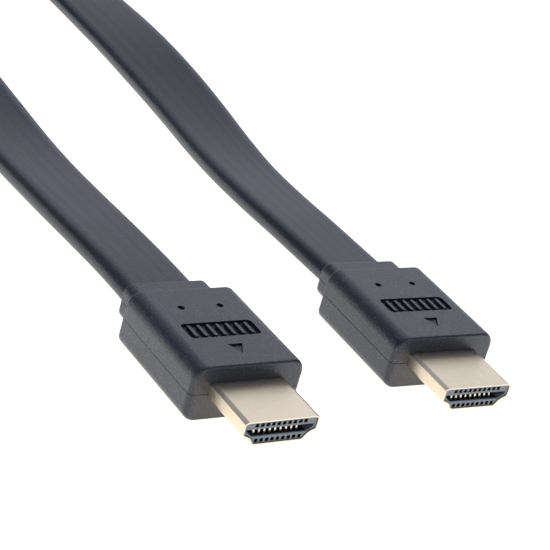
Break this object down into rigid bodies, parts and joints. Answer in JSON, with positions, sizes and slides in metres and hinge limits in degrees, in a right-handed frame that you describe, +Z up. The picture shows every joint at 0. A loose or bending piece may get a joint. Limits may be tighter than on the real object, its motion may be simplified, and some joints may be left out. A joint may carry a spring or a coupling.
{
  "type": "hdmi cable",
  "caption": "Flat ribbon video cable with a moulded plug and a metal shell on each end, its spare length wound in a tied hank.",
  "frame": {"origin": "centre of the underside of plug a's grip, on the surface that it lies on", "axes": "+X is the way plug a is pushed into its socket, +Z is up through its top face, and the cable runs away from it towards -X"},
  "size_m": [0.4083, 0.1103, 0.0185],
  "materials": {
    "grip": "satin moulded plastic with a fine grain, dark blue-grey",
    "jacket": "satin extruded jacket, dark blue-grey",
    "shell": "nickel-plated pressed sheet, warm and bright",
    "insulator": "blue-grey moulded insulator",
    "contacts": "gold-flashed sprung strips",
    "tie": "black woven hook-and-loop band"
  },
  "bodies": {
    "root": {"plug_a_grip": "grip", "plug_a_shell": "shell", "plug_a_insulator": "insulator", "plug_a_upper_contact_01": "contacts", "plug_a_upper_contact_02": "contacts", "plug_a_upper_contact_03": "contacts", "plug_a_upper_contact_04": "contacts", "plug_a_upper_contact_05": "contacts", "plug_a_upper_contact_06": "contacts", "plug_a_upper_contact_07": "contacts", "plug_a_upper_contact_08": "contacts", "plug_a_upper_contact_09": "contacts", "plug_a_upper_contact_10": "contacts", "plug_a_lower_contact_01": "contacts", "plug_a_lower_contact_02": "contacts", "plug_a_lower_contact_03": "contacts", "plug_a_lower_contact_04": "contacts", "plug_a_lower_contact_05": "contacts", "plug_a_lower_contact_06": "contacts", "plug_a_lower_contact_07": "contacts", "plug_a_lower_contact_08": "contacts", "plug_a_lower_contact_09": "contacts", "plug_b_grip": "grip", "plug_b_shell": "shell", "plug_b_insulator": "insulator", "plug_b_upper_contact_01": "contacts", "plug_b_upper_contact_02": "contacts", "plug_b_upper_contact_03": "contacts", "plug_b_upper_contact_04": "contacts", "plug_b_upper_contact_05": "contacts", "plug_b_upper_contact_06": "contacts", "plug_b_upper_contact_07": "contacts", "plug_b_upper_contact_08": "contacts", "plug_b_upper_contact_09": "contacts", "plug_b_upper_contact_10": "contacts", "plug_b_lower_contact_01": "contacts", "plug_b_lower_contact_02": "contacts", "plug_b_lower_contact_03": "contacts", "plug_b_lower_contact_04": "contacts", "plug_b_lower_contact_05": "contacts", "plug_b_lower_contact_06": "contacts", "plug_b_lower_contact_07": "contacts", "plug_b_lower_contact_08": "contacts", "plug_b_lower_contact_09": "contacts", "cable_run_a": "jacket", "cable_run_b": "jacket", "cable_hank": "jacket", "hank_tie": "tie"}
  },
  "joints": []
}
